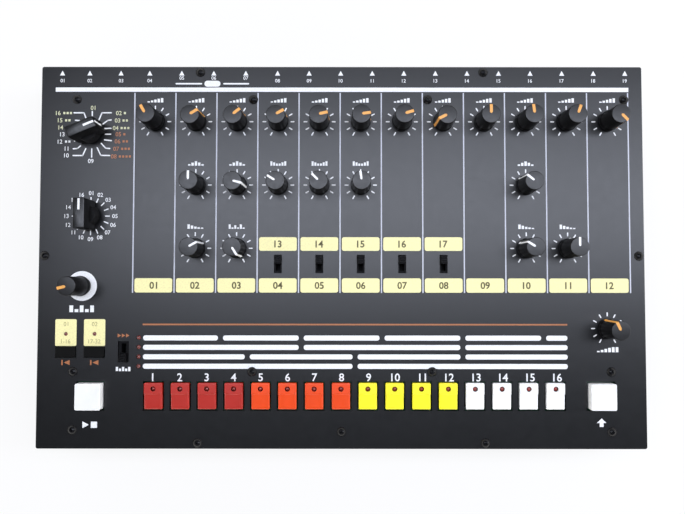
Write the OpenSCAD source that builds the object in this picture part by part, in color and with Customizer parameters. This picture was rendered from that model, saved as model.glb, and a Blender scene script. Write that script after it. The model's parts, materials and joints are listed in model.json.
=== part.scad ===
// Desktop drum machine: a shallow sheet-metal case closed by a flat panel. The panel carries twelve
// channel strips of rotary controls, two sixteen-way selectors, slide switches, a row of sixteen
// step keys with a lamp in each, and two square lit keys. The sockets are in the rear wall.
// Millimetres. The origin is on the bench, under the centre of the panel; +Y is the rear edge.

/* [Case] */
// Width of the front panel
panel_w = 434; // [432:1:540]
// Depth of the front panel, front edge to rear edge
panel_d = 274; // [270:1:340]
// Thickness of the front panel
panel_t = 2; // [1.5:0.5:3]
// Corner radius of the front panel
panel_r = 1.5; // [1.5:0.5:6]
// Height of the tray, without the feet and the panel
tray_h = 52; // [46:1:80]
// Sheet thickness of the tray
sheet_t = 1.5; // [1:0.1:2]
// How far the panel stands past the tray on every side
panel_lip = 0.5; // [0.2:0.1:1]
// Width of the tray's inward flange, under the panel's edge
flange_w = 7; // [6:0.5:7]
// Height of the rubber feet
foot_h = 6; // [4:0.5:12]
// Diameter of a rubber foot where it meets the tray
foot_d = 18; // [14:1:24]
// Distance of a foot's centre from the panel's edges
foot_inset = 30; // [20:1:50]

/* [Channel strips] */
// Number of channel strips
channels = 12; // [12:1:12]
// Width of one channel strip
channel_pitch = 29.7; // [26:0.1:30]
// First strip's left line, from the panel's left edge
strip_left = 67.4; // [66:0.1:80]
// Upper row of knobs, from the rear edge
upper_row = 40; // [38:0.5:50]
// Middle row of knobs, from the rear edge
middle_row = 86; // [80:0.5:90]
// Lower row of knobs, from the rear edge
lower_row = 131.6; // [126:0.1:134]
// Sound switches, from the rear edge
switch_row = 142.8; // [142:0.1:150]

/* [Other controls] */
// Column of the two selectors, from the left edge
selector_col = 36.7; // [34:0.1:40]
// The two selectors, from the rear edge
selector_rows = [48.8, 108.5];
// Tempo knob, from the left edge and from the front edge
tempo_at = [31.2, 115.3];
// Master knob, from the right edge and from the front edge
master_at = [27.2, 85.2];
// Bank switch, from the left edge and from the front edge
bank_at = [61.4, 68.5];
// Column of the bank lamps, from the left edge
bank_lamp_col = 72.3; // [70:0.1:74]
// First bank lamp, from the front edge
bank_lamp_row = 78.6; // [76:0.1:80]
// Pitch of the bank lamps
bank_lamp_pitch = 6.8; // [5:0.1:8]
// First black key, from the left edge and from the front edge
black_key_at = [20.2, 68.2];
// Pitch of the two black keys
black_key_pitch = 20.5; // [17:0.1:22]
// Lamps above the black keys, from the front edge
black_lamp_row = 81.1; // [78:0.1:86]

/* [Step keys] */
// Number of step keys
steps = 16; // [16:1:16]
// Pitch of the step keys
key_pitch = 19.05; // [15.9:0.05:19.2]
// Middle of the key row, to the right of the panel's middle
key_mid = 9.2; // [5:0.1:12]
// Key row, from the front edge
key_row = 37.2; // [34:0.1:40]
// Width of a step key's cap
key_w = 12.9; // [11:0.1:13.5]
// Length of a step key's cap
key_l = 18.6; // [17:0.1:20]
// Height of a step key's rear part above the panel
key_up = 2.2; // [1.8:0.1:4]
// Width of the bevel along the sides and front of a step key
key_bevel = 1.2; // [0.8:0.1:1.6]
// Travel of a step key
key_travel = 1.5; // [0.5:0.1:1.5]
// Gap round a key's cap in the panel
key_gap = 1.1; // [0.5:0.1:1.3]

/* [Square keys] */
// Width of a square key's cap
square_w = 18; // [16:0.5:19]
// Length of a square key's cap
square_l = 18.6; // [16:0.5:20]
// Height of a square key's cap above the panel
square_up = 6; // [4:0.5:8]
// Travel of a square key
square_travel = 2; // [1:0.1:2]
// Start key, from the left edge
start_col = 38.2; // [36:0.1:44]
// Shift key, from the right edge
shift_col = 32.2; // [30:0.1:36]

/* [Knobs] */
// Diameter of a knob's top
knob_top_d = 13; // [11:0.1:14]
// Diameter of a knob's flared foot
knob_foot_d = 14.6; // [14:0.1:17]
// Height of a knob
knob_h = 22; // [18:0.5:22]
// Height of the tempo knob
tempo_h = 25; // [20:0.5:27]
// Diameter of a control's shaft
shaft_d = 6; // [5:0.1:6.2]
// Diameter of a control's threaded bushing
bushing_d = 8; // [7.4:0.1:9]
// Turning angle from the middle to either stop
knob_swing = 150; // [120:5:160]
// Length of a selector's pointer bar
bar_l = 21; // [18:0.5:24]
// Width of a selector's pointer bar
bar_w = 7.8; // [7:0.1:9]
// Height of a selector's knob
bar_h = 19.5; // [16:0.5:24]
// Diameter of a selector's hub
hub_d = 15.5; // [14:0.5:18]

/* [Slide switches] */
// Width and length of a sound switch's slot
slot_size = [5.6, 13.2];
// Width and length of a sound switch's lever
lever_size = [4.8, 6.4];
// Width and length of the bank switch's slot
bank_slot_size = [7.8, 15];
// Width and length of the bank switch's lever
bank_lever_size = [5, 6.6];
// Height of a lever above the panel
lever_up = 3.4; // [2:0.1:6]

/* [Sockets] */
// Pitch of the output jacks
jack_pitch = 22.86; // [22:0.01:23]
// Last output jack, from the right edge
jack_right = 12; // [12:0.1:16]
// Bore of a jack
jack_bore = 6.5; // [6.4:0.05:6.6]
// Pitch of the round multi-pin sockets
din_pitch = 23.2; // [22.5:0.1:24]
// Bore of a round multi-pin socket
din_bore = 13.4; // [13:0.1:14]
// Bore of the power inlet
power_bore = 6.4; // [6:0.1:6.6]
// Height of the sockets' axes above the tray's floor
socket_z = 24; // [23:0.5:30]

/* [Fasteners] */
// Diameter of the dome-head screws' heads
head_d = 6.8; // [6:0.1:7.5]
// Height of the dome-head screws' heads
head_h = 2.2; // [1.6:0.1:3]
// Diameter of the screws
screw_d = 3; // [2.5:0.1:3]
// Length of the studs between the panel and the control board
stud_h = 10; // [10:0.5:12]
// Distance of the edge screws from the panel's edge
edge_inset = 4; // [3.8:0.1:4.5]

/* [Black keys and lamps] */
// Width and length of a black key's cap
black_size = [14.3, 7.4];
// Height of a black key's cap above the panel
black_up = 1.2; // [0.8:0.1:2]
// Travel of a black key
black_travel = 1; // [0.5:0.1:1.2]
// Diameter of a lamp
lamp_d = 3; // [2.6:0.1:3.2]

/* [Hidden] */
$fn = 64;
fit = 0.05;          // radial gap of a shaft in its bushing and of a screw in its hole
press = 0.02;        // gap of pieces that are pushed together for good
slide = 0.25;        // gap beside a key's stem or a lever
wall = 1.2;          // wall of a moulded cap
board_t = 1.6;       // thickness of a circuit board
nut_t = 2;           // thickness of a control's nut
root_cut = 3.4;      // how much shorter a lever's root is than its head
nut_room = 11.9;     // bore in a knob's foot that clears the control's nut
lamp_gap = 0.6;      // radial gap between a lamp and its step key
bevel_drop = 0.6;    // how far a step key's bevel falls
key_tilt = 2.7;      // slope of a step key's front part, in degrees

top = foot_h + tray_h + panel_t;
under = top - panel_t;
board_top = under - stud_h;
floor_top = foot_h + sheet_t;
main_board_z = floor_top + 6;
tray_w = panel_w - 2 * panel_lip;
tray_d = panel_d - 2 * panel_lip;
socket_axis = floor_top + socket_z;

function from_left(d) = -panel_w / 2 + d;
function from_right(d) = panel_w / 2 - d;
function from_rear(d) = panel_d / 2 - d;
function from_front(d) = -panel_d / 2 + d;
function channel_x(c) = from_left(strip_left + (c + 0.5) * channel_pitch);

// One row per knob: name, strip, row, pointer's angle clockwise from the rear edge, height of its
// top above the panel. The knobs are pushed on to their shafts by hand, so these heights differ.
KNOBS = [
    ["level_knob_1", 0, upper_row, -30, 26],
    ["level_knob_2", 1, upper_row, 59, 22.5],
    ["level_knob_3", 2, upper_row, 52, 22.5],
    ["level_knob_4", 3, upper_row, 60, 22.5],
    ["level_knob_5", 4, upper_row, 77, 23],
    ["level_knob_6", 5, upper_row, 82, 24],
    ["level_knob_7", 6, upper_row, 73, 25],
    ["level_knob_8", 7, upper_row, -116, 22.5],
    ["level_knob_9", 8, upper_row, 0, 24.5],
    ["level_knob_10", 9, upper_row, -8, 25],
    ["level_knob_11", 10, upper_row, 20, 25],
    ["level_knob_12", 11, upper_row, 135, 25],
    ["middle_knob_2", 1, middle_row, 0, 25],
    ["middle_knob_3", 2, middle_row, 104, 22.5],
    ["middle_knob_4", 3, middle_row, -58, 23.5],
    ["middle_knob_5", 4, middle_row, -45, 24.5],
    ["middle_knob_6", 5, middle_row, -8, 24.5],
    ["middle_knob_10", 9, middle_row, -52, 23.5],
    ["lower_knob_2", 1, lower_row, 60, 22.5],
    ["lower_knob_3", 2, lower_row, 148, 22.5],
    ["lower_knob_10", 9, lower_row, -58, 25],
    ["lower_knob_11", 10, lower_row, 0, 25.5],
];
TEMPO = ["tempo_knob", from_left(tempo_at[0]), from_front(tempo_at[1]), -104, 28.5, tempo_h];
MASTER = ["master_knob", from_right(master_at[0]), from_front(master_at[1]), -25, 24.5, knob_h];
// The same rows with the strip and row turned into a place, and with the knob's own height.
DIALS = concat([for (k = KNOBS) [k[0], channel_x(k[1]), from_rear(k[2]), k[3], k[4], knob_h]],
    [TEMPO, MASTER]);

// Selectors: name, place, angle clockwise from the rear edge, height of the hub's foot.
SELECTORS = [
    ["mode_selector", from_left(selector_col), from_rear(selector_rows[0]), 67.5, 3.5],
    ["voice_selector", from_left(selector_col), from_rear(selector_rows[1]), 0, 3.5],
];

// Slide switches: name, place, slot, lever, and 1 where the lever rests at the rear end of its slot.
SLIDES = concat(
    [for (c = [3:7]) [str("sound_switch_", c + 1), channel_x(c), from_rear(switch_row), slot_size,
        lever_size, 1]],
    [["bank_switch", from_left(bank_at[0]), from_front(bank_at[1]), bank_slot_size, bank_lever_size, -1]]
);

function key_x(i) = key_mid + (i - (steps - 1) / 2) * key_pitch;
key_y = from_front(key_row);
key_lamp_dy = 5.2;            // lamp's place behind the key's middle
stem_dy = -3;                 // stem's place behind the key's middle
square_x = [from_left(start_col), from_right(shift_col)];
black_x = [from_left(black_key_at[0]), from_left(black_key_at[0] + black_key_pitch)];
black_y = from_front(black_key_at[1]);
LAMPS = concat(
    [for (i = [0:3]) [from_left(bank_lamp_col), from_front(bank_lamp_row - i * bank_lamp_pitch)]],
    [for (x = black_x) [x, from_front(black_lamp_row)]]
);

// Screws through the panel into studs: three rows, placed clear of the controls.
STUDS = [
    [from_left(25.6), from_rear(23.9)], [-63.8, from_rear(23.9)],
    [62, from_rear(23.9)], [from_right(13.1), from_rear(23.9)],
    [from_left(25.6), from_front(54.4)], [-63.8, from_front(54.4)],
    [64.6, from_front(54.4)], [from_right(24.8), from_front(54.4)],
    [from_left(25.6), from_front(13.2)], [0, from_front(12)], [from_right(24.8), from_front(12)],
];
// Screws at the panel's edge into the tray's flange.
EDGE_SCREWS = concat(
    [for (sx = [-1, 1], sy = [-1, 1]) [sx * 102.3, sy * (panel_d / 2 - edge_inset)]],
    [for (sx = [-1, 1]) [sx * (panel_w / 2 - edge_inset), 0]]
);
FEET = [for (sx = [-1, 1], sy = [-1, 1])
    [sx * (panel_w / 2 - foot_inset), sy * (panel_d / 2 - foot_inset)]];
// Posts that carry the main board.
main_board_size = [panel_w - 54, panel_d - 94];
main_board_y = -12;
POSTS = [for (px = [-0.5, 0, 0.5], py = [-0.5, 0.5])
    [px * (main_board_size[0] - 16), main_board_y + py * (main_board_size[1] - 12)]];

// Sockets from right to left: output jacks, round multi-pin sockets, trigger jacks, power inlet.
outputs = 12;
JACKS = [for (k = [0:outputs - 1]) from_right(jack_right + k * jack_pitch)];
din_right = JACKS[outputs - 1] - 23;
DINS = [for (k = [0:3]) din_right - k * din_pitch];
TRIGGERS = [for (k = [0:1]) DINS[3] - 20.8 - k * 22.6];
power_x = TRIGGERS[1] - 19.8;
jack_body = [15.6, 22, 14];   // width, depth behind the wall, height
jack_neck_d = 11;
din_flange_d = 21;
din_neck_d = 17.6;
power_neck_d = 10.6;
nose = 2.6;                   // how far a socket stands out of the rear wall
rear_wall = tray_d / 2;

// ---------- shapes used by several pieces ----------

module rounded(size, r) {
    square([size[0] - 2 * r, size[1]], center = true);
    square([size[0], size[1] - 2 * r], center = true);
    for (sx = [-1, 1], sy = [-1, 1])
        translate([sx * (size[0] / 2 - r), sy * (size[1] / 2 - r)]) circle(r);
}

module plate(size, r, h) {
    linear_extrude(h) rounded(size, r);
}

module block(x, y, z) {
    translate([-x / 2, -y / 2, 0]) cube([x, y, z]);
}

// Outline of a flatted shaft, grown by a gap on every side.
module shaft_outline(gap = 0) {
    intersection() {
        circle(d = shaft_d + 2 * gap);
        translate([-shaft_d, -shaft_d]) square([2 * shaft_d, shaft_d + shaft_d / 4 + gap]);
    }
}

// Moves children to a place on the panel, turned clockwise by an angle as seen from above.
module at(x, y, z, turn = 0) {
    translate([x, y, z]) rotate([0, 0, -turn]) children();
}

// ---------- case ----------

module front_panel() {
    color([0.13, 0.13, 0.14])
    difference() {
        translate([0, 0, under]) plate([panel_w, panel_d], panel_r, panel_t);
        translate([0, 0, under - 1]) linear_extrude(panel_t + 2) panel_cuts();
    }
}

module panel_cuts() {
    for (k = DIALS) translate([k[1], k[2]]) circle(d = bushing_d + 0.4);
    for (s = SELECTORS) translate([s[1], s[2]]) circle(d = bushing_d + 0.4);
    for (s = SLIDES) translate([s[1], s[2]]) square(s[3], center = true);
    for (i = [0:steps - 1])
        translate([key_x(i), key_y]) square([key_w + 2 * key_gap, key_l + 2 * key_gap], center = true);
    for (x = square_x)
        translate([x, key_y]) square([square_w + 2 * key_gap, square_l + 2 * key_gap], center = true);
    for (x = black_x)
        translate([x, black_y]) square([black_size[0] + 0.8, black_size[1] + 0.8], center = true);
    for (l = LAMPS) translate(l) circle(d = lamp_d + 0.3);
    for (s = concat(STUDS, EDGE_SCREWS)) translate(s) circle(d = screw_d + 0.4);
}

// Folded tray: floor, four walls and an inward flange with pressed nuts for the edge screws.
module case_tray() {
    color([0.16, 0.16, 0.17])
    difference() {
        union() {
            difference() {
                translate([0, 0, foot_h]) plate([tray_w, tray_d], panel_r, tray_h);
                translate([0, 0, floor_top])
                    plate([tray_w - 2 * sheet_t, tray_d - 2 * sheet_t], panel_r - 1,
                        tray_h - 2 * sheet_t);
                translate([0, 0, floor_top])
                    plate([tray_w - 2 * sheet_t - 2 * flange_w, tray_d - 2 * sheet_t - 2 * flange_w],
                        panel_r, tray_h);
            }
            for (s = EDGE_SCREWS) translate([s[0], s[1], under - sheet_t - 3]) pressed_nut(3.4);
            for (p = POSTS) translate([p[0], p[1], floor_top - 0.2]) cylinder(d = 6, h = 6.2);
            for (f = FEET) translate([f[0], f[1], floor_top - 0.2]) cylinder(d = 7, h = 4.2);
        }
        for (s = EDGE_SCREWS)
            translate([s[0], s[1], under - 10]) cylinder(d = screw_d + 2 * fit, h = 12);
        for (p = concat(POSTS, FEET))
            translate([p[0], p[1], foot_h - 1]) cylinder(d = screw_d + 2 * fit, h = 12);
        rear_cuts();
    }
}

module pressed_nut(h) {
    intersection() {
        cylinder(d = 5.6, h = h);
        block(5.6, 4.4, h);
    }
}

module through_rear(x, d) {
    translate([x, rear_wall - 4, socket_axis]) rotate([-90, 0, 0]) cylinder(d = d + 0.3, h = 8);
}

module rear_cuts() {
    for (x = concat(JACKS, TRIGGERS)) through_rear(x, jack_neck_d);
    for (x = DINS) through_rear(x, din_neck_d);
    through_rear(power_x, power_neck_d);
}

// Turned rubber foot: a slight taper, a rounded tread edge and a well for its screw.
module rubber_feet() {
    color([0.08, 0.08, 0.08])
    for (f = FEET) translate([f[0], f[1], 0]) rotate_extrude() difference() {
        polygon([[0, 0], [foot_d / 2 - 2.6, 0], [foot_d / 2 - 1.7, 0.4], [foot_d / 2 - 1.3, 1.2],
            [foot_d / 2, foot_h], [0, foot_h]]);
        translate([-1, -1]) square([1 + screw_d / 2 + 0.2, foot_h + 2]);
        translate([-1, -1]) square([4.2, 4]);
    }
}

// ---------- fasteners ----------

// Dome head with a hexagonal socket; its underside is at z = 0 and its shank points down.
module dome_screw(shank) {
    dome_r = (head_d * head_d / 4 + head_h * head_h) / (2 * head_h);
    difference() {
        union() {
            rotate_extrude() intersection() {
                translate([0, head_h - dome_r]) circle(dome_r);
                square([head_d, head_h]);
            }
            translate([0, 0, -shank]) cylinder(d = screw_d, h = shank + 0.2);
        }
        translate([0, 0, head_h - 1.3]) cylinder(d = 2.3, h = 2, $fn = 6);
    }
}

// Flat round head with a cross recess; its shank points up from z = 0.
module pan_screw(shank) {
    difference() {
        union() {
            translate([0, 0, -1.8]) cylinder(d = 5.4, h = 1.8);
            cylinder(d = screw_d, h = shank);
        }
        for (a = [0, 90]) rotate([0, 0, a]) translate([0, 0, -2]) block(3, 0.7, 1);
    }
}

module hex_ring(across, bore, h) {
    difference() {
        cylinder(d = across / cos(30), h = h, $fn = 6);
        translate([0, 0, -1]) cylinder(d = bore, h = h + 2);
    }
}

module fasteners() {
    color([0.2, 0.2, 0.21]) {
        for (s = STUDS) translate([s[0], s[1], top]) dome_screw(panel_t + 4.5);
        for (s = EDGE_SCREWS) translate([s[0], s[1], top]) dome_screw(panel_t + 6);
        for (s = STUDS) translate([s[0], s[1], board_top]) hex_ring(5.5, screw_d + 2 * fit, stud_h);
        for (s = STUDS) translate([s[0], s[1], board_top - board_t]) pan_screw(board_t + 4.5);
        for (p = POSTS) translate([p[0], p[1], main_board_z + board_t])
            mirror([0, 0, 1]) pan_screw(board_t + 4.5);
        for (f = FEET) translate([f[0], f[1], 3]) pan_screw(foot_h - 3 + sheet_t + 3.4);
        for (k = DIALS) translate([k[1], k[2], top]) hex_ring(10, bushing_d + 2 * fit, nut_t);
        for (s = SELECTORS) translate([s[1], s[2], top]) hex_ring(10, bushing_d + 2 * fit, nut_t);
    }
}

// ---------- inside ----------

// Both boards, each with the chips and headers soldered to it.
module circuit_boards() {
    color([0.1, 0.35, 0.18]) {
        difference() {
            translate([0, 0, board_top - board_t]) plate([panel_w - 22, panel_d - 22], 3, board_t);
            for (s = STUDS) translate([s[0], s[1], board_top - 5]) cylinder(d = screw_d + 0.4, h = 8);
        }
        difference() {
            translate([0, main_board_y, main_board_z]) plate(main_board_size, 3, board_t);
            for (p = POSTS)
                translate([p[0], p[1], main_board_z - 5]) cylinder(d = screw_d + 0.4, h = 12);
        }
        translate([0, main_board_y, main_board_z + board_t]) main_board_chips();
    }
}

module main_board_chips() {
    columns = 12;
    step = (main_board_size[0] - 60) / (columns - 1);
    for (c = [0:columns - 1], r = [-1, 0, 1])
        translate([(c - (columns - 1) / 2) * step, r * 44, 0]) {
            block(6.4, 19.3, 4.6);
            translate([step / 2 - 2, 0, 0]) cylinder(d = 6, h = 7.5);
        }
}

// Bodies of the controls, soldered to the control board: pots, selectors, slide and key switches.
module control_bodies() {
    color([0.35, 0.36, 0.38]) {
        for (k = DIALS) at(k[1], k[2], 0) pot_body(11, 11, 6.8);
        for (s = SELECTORS) at(s[1], s[2], 0) selector_body();
        for (s = SLIDES) at(s[1], s[2], 0) slide_body(s[3], s[4]);
        for (i = [0:steps - 1]) at(key_x(i), key_y + stem_dy, board_top) key_body(11.4, 11.4, 5.2);
        for (x = square_x) at(x, key_y, board_top) key_body(15, 15, 5.2);
        for (x = black_x) at(x, black_y, board_top) key_body(11, 7, 5.2);
    }
}

// Drops the threaded bushing from above the panel to the body, with the shaft's bore through it.
module bushing_and_bore(body_top) {
    difference() {
        union() {
            children();
            translate([0, 0, body_top - 0.5])
                cylinder(d = bushing_d, h = top + nut_t + 0.6 - body_top + 0.5);
        }
        translate([0, 0, board_top + 1.5]) cylinder(d = shaft_d + 2 * fit, h = 40);
    }
}

module pot_body(w, l, h) {
    bushing_and_bore(board_top + h) translate([0, 0, board_top]) {
        block(w, l, h);
        cylinder(d = w + 1, h = h - 1.2);
    }
}

module selector_body() {
    bushing_and_bore(board_top + 8) translate([0, 0, board_top]) cylinder(d = 25, h = 8);
}

// A slide switch's frame: it fills the panel's slot up to half the panel's thickness.
module slide_body(slot, lever) {
    difference() {
        union() {
            translate([0, 0, board_top]) block(slot[0] + 4, slot[1] + 4, stud_h - 0.4);
            translate([0, 0, under - 0.5]) block(slot[0] - 0.3, slot[1] - 0.3, 1.2);
        }
        translate([0, 0, board_top + 2]) block(lever[0] - 1.6, slot[1] - root_cut, 20);
    }
}

// A key switch's box with a square well that guides the key's stem.
module key_body(w, l, h) {
    difference() {
        plate([w, l], 1, h);
        translate([0, 0, 1]) block(4 + 2 * slide, 4 + 2 * slide, h);
    }
}

module lamps() {
    color([0.75, 0.05, 0.05]) {
        for (l = LAMPS) translate([l[0], l[1], board_top]) lamp(top + 1 - board_top);
        for (i = [0:steps - 1])
            translate([key_x(i), key_y + key_lamp_dy, board_top]) lamp(top + key_up - 0.5 - board_top);
    }
}

// Round-nosed lamp on two wires inside a spacer tube; h is its height over the board.
module lamp(h) {
    rotate_extrude() {
        intersection() {
            translate([0, h - lamp_d / 2]) circle(d = lamp_d);
            translate([0, h - lamp_d / 2]) square([lamp_d, lamp_d]);
        }
        square([lamp_d / 2, h - lamp_d / 2]);
        square([lamp_d / 2 + 0.3, h - 6]);
    }
}

// ---------- rear sockets ----------

module rear_sockets() {
    color([0.1, 0.1, 0.11]) {
        for (x = concat(JACKS, TRIGGERS)) on_rear(x) jack();
        for (x = DINS) on_rear(x) din_socket();
        on_rear(power_x) power_inlet();
    }
}

// Children are drawn along +Z with the rear wall's outer face at z = 0.
module on_rear(x) {
    translate([x, rear_wall, socket_axis]) rotate([-90, 0, 0]) children();
}

module jack() {
    difference() {
        union() {
            translate([0, 0, -sheet_t - jack_body[1]]) block(jack_body[0], jack_body[2], jack_body[1]);
            translate([0, 0, -sheet_t - 0.2]) cylinder(d = jack_neck_d, h = sheet_t + 0.2 + nose);
            cylinder(d = 14 / cos(30), h = nose - 0.6, $fn = 6);
        }
        translate([0, 0, -18]) cylinder(d = jack_bore, h = 18 + nose + 1);
        translate([0, 0, nose - 0.5]) cylinder(d1 = jack_bore, d2 = jack_bore + 1.6, h = 0.8);
    }
}

// Five contact holes in the floor of a round shell, with the key notch at the top.
module din_socket() {
    difference() {
        union() {
            translate([0, 0, -sheet_t - 12]) block(20, 20, 12);
            translate([0, 0, -sheet_t - 0.2]) cylinder(d = din_neck_d, h = sheet_t + 0.2 + nose);
            cylinder(d = din_flange_d, h = 1.2);
        }
        translate([0, 0, -7]) cylinder(d = din_bore, h = 8 + nose);
        translate([-1.1, -din_bore / 2 - 0.9, -7]) cube([2.2, 3, 8 + nose]);
        for (a = [-90:45:90])
            rotate([0, 0, a]) translate([0, 4.9, -10.5]) cylinder(d = 1.6, h = 6, $fn = 16);
    }
}

module power_inlet() {
    difference() {
        union() {
            translate([0, 0, -sheet_t - 12]) block(14, 12, 12);
            translate([0, 0, -sheet_t - 0.2]) cylinder(d = power_neck_d, h = sheet_t + 0.2 + nose);
            cylinder(d = 14 / cos(30), h = nose - 0.6, $fn = 6);
        }
        translate([0, 0, -2.4]) cylinder(d = power_bore, h = 4 + nose);
        translate([0, 0, -9]) cylinder(d = power_bore - 0.6, h = 7);
    }
    translate([0, 0, -9.5]) cylinder(d = 2, h = 7);
}

// ---------- moving pieces ----------

// Knob and its shaft, drawn with the pointer towards +Y. rise is the height of its top. The knob is
// a shell with a flared foot; four ribs join it to the boss that grips the shaft.
module knob(rise, height) {
    foot = rise - height;
    rt = knob_top_d / 2;
    rf = knob_foot_d / 2;
    boss_foot = foot + 3.6;
    color([0.07, 0.07, 0.08]) difference() {
        union() {
            translate([0, 0, foot]) rotate_extrude() difference() {
                polygon([[0, 0], [rf - 0.3, 0], [rf, 0.4], [rf - 0.05, 1.3], [rf - 0.45, 2.1],
                    [rt + 0.25, 3.6], [rt, height - 0.5], [rt - 0.5, height], [0, height]]);
                polygon([[-1, -1], [nut_room / 2, -1], [nut_room / 2, 3.2], [rt - wall, 4.6],
                    [rt - wall - 0.2, height - 2], [-1, height - 2]]);
            }
            translate([0, 0, boss_foot]) cylinder(d = shaft_d + 2.6, h = rise - 1.5 - boss_foot);
            for (a = [45:90:315]) rotate([0, 0, a])
                translate([shaft_d / 2 + 0.5, -0.5, foot + 6]) cube([rt - shaft_d / 2 - 1, 1, height - 7.5]);
        }
        translate([0, 0, foot]) linear_extrude(height - 3) shaft_outline(press);
        translate([-0.6, 0.2, rise - 0.3]) cube([1.2, rt + 1, 1]);
        translate([-0.6, rt - 0.25, foot + 3.6]) cube([1.2, 2, height]);
    }
    color([0.6, 0.61, 0.63])
        translate([0, 0, board_top + 2 - top]) linear_extrude(rise - 4 - board_top - 2 + top) shaft_outline();
}

// Pointer bar on a round hub, with a grub screw in the hub and a groove for the white line.
module selector_knob(rise) {
    half = bar_l / 2;
    color([0.07, 0.07, 0.08]) difference() {
        union() {
            translate([0, 0, rise]) rotate_extrude() polygon([[0, 0], [hub_d / 2 - 0.4, 0],
                [hub_d / 2, 0.5], [hub_d / 2 - 0.5, 7.5], [hub_d / 2 - 1.1, 8], [0, 8]]);
            translate([0, 0, rise]) intersection() {
                rotate([90, 0, 0]) translate([0, 0, -half]) linear_extrude(bar_l) polygon([
                    [-bar_w / 2 - 0.4, 0], [bar_w / 2 + 0.4, 0], [bar_w / 2, bar_h - 1.4],
                    [bar_w / 2 - 1.3, bar_h], [1.3 - bar_w / 2, bar_h], [-bar_w / 2, bar_h - 1.4]]);
                rotate([90, 0, 90]) translate([0, 0, -bar_w]) linear_extrude(2 * bar_w) polygon([
                    [-half, 0], [half, 0], [half - 0.7, bar_h - 1.2], [half - 1.8, bar_h],
                    [1.8 - half, bar_h], [0.7 - half, bar_h - 1.2]]);
            }
        }
        translate([0, 0, rise - 1]) cylinder(d = 12.2, h = 3.2);
        translate([0, 0, rise]) linear_extrude(bar_h - 4) shaft_outline(press);
        translate([-0.75, half - 8.6, rise + bar_h - 0.3]) cube([1.5, 10, 1]);
        translate([-hub_d, 0, rise + 5]) rotate([0, 90, 0]) cylinder(d = 3, h = hub_d - shaft_d / 2 - 1);
    }
    color([0.6, 0.61, 0.63])
        translate([0, 0, board_top + 2 - top]) linear_extrude(rise + bar_h - 5 - board_top - 2 + top)
            shaft_outline();
}

// Lever of a slide switch, drawn at the middle of its slot: ribbed head and a root in the frame.
module lever(size) {
    color([0.06, 0.06, 0.06]) {
        difference() {
            translate([0, 0, under + 0.9]) plate(size, 0.6, panel_t - 0.9 + lever_up);
            for (i = [-1:1]) translate([0, i * 1.7, top + lever_up]) rotate([0, 90, 0])
                cylinder(d = 0.8, h = 20, center = true, $fn = 16);
        }
        translate([0, 0, board_top + 3])
            block(size[0] - 1.6 - 2 * slide, size[1] - root_cut, stud_h - 3 + 1);
    }
}

// Cap of a step key: a flat rear platform round the lamp's hole, a crease, and a front part that
// slopes forward and is bevelled along its sides and front.
module step_key() {
    half = key_l / 2;
    side = key_w / 2;
    crease = half - 8;
    skirt = panel_t + 1;
    front_up = key_up - 0.5;
    lip = front_up - (crease + half - key_bevel) * tan(key_tilt);
    difference() {
        union() {
            translate([-side, 0, top]) rotate([90, 0, 90]) linear_extrude(key_w) polygon([
                [crease, -skirt], [half, -skirt], [half, key_up - 0.3], [half - 0.3, key_up],
                [crease + 0.3, key_up], [crease, front_up - bevel_drop]]);
            intersection() {
                translate([-side, 0, top]) rotate([90, 0, 90]) linear_extrude(key_w) polygon([
                    [-half, -skirt], [crease + 0.2, -skirt], [crease + 0.2, front_up + 2],
                    [4 * key_bevel - half, lip + 3 * bevel_drop], [-half, lip - bevel_drop]]);
                translate([0, crease, top + front_up]) rotate([90 + key_tilt, 0, 0])
                    translate([0, 0, -1]) linear_extrude(key_l + 2) polygon([
                        [-side - 1, -9], [side + 1, -9], [side + 1, -bevel_drop * (1 + 1 / key_bevel)],
                        [side - key_bevel, 0], [key_bevel - side, 0],
                        [-side - 1, -bevel_drop * (1 + 1 / key_bevel)]]);
            }
        }
        translate([0, 0, top - skirt - 1])
            block(key_w - 2 * wall, key_l - 2 * wall, skirt + 1 + front_up - wall);
        translate([0, key_lamp_dy, top - skirt]) cylinder(d = lamp_d + 2 * lamp_gap, h = 10);
    }
    stem_foot = board_top + 1.3 + key_travel;
    translate([0, stem_dy, stem_foot]) block(4, 4, top + 0.8 - stem_foot);
}

// Clear hollow cap over a white block that carries the stem.
module square_key() {
    skirt = panel_t + 0.6;
    color([0.95, 0.95, 0.93, 0.6]) difference() {
        translate([0, 0, top - skirt]) plate([square_w, square_l], 1, square_up + skirt);
        translate([0, 0, top - skirt - 1])
            plate([square_w - 2 * wall, square_l - 2 * wall], 0.6, square_up + skirt + 1 - wall);
    }
    color([0.92, 0.92, 0.9]) {
        translate([0, 0, top - skirt + 0.2])
            plate([square_w - 2 * wall - 2 * press, square_l - 2 * wall - 2 * press], 0.6,
                square_up + skirt - 0.2 - wall - press);
        translate([0, 0, board_top + 1.3 + square_travel])
            block(4, 4, top - skirt + 1 - board_top - 1.3 - square_travel);
    }
}

module black_key() {
    color([0.05, 0.05, 0.05]) {
        translate([0, 0, under - 0.6]) plate(black_size, 0.8, panel_t + 0.6 + black_up);
        translate([0, 0, board_top + 1.3 + black_travel]) block(4, 4, stud_h - 1.5 - black_travel);
    }
}

STEP_COLOURS = [[0.8, 0.2, 0.18], [0.98, 0.42, 0.15], [1, 0.9, 0.12], [0.97, 0.97, 0.95]];
function step_colour(i) = STEP_COLOURS[floor(i / 4)];
function lever_rest(s) = s[5] * ((s[3][1] - s[4][1]) / 2 - slide);

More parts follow.
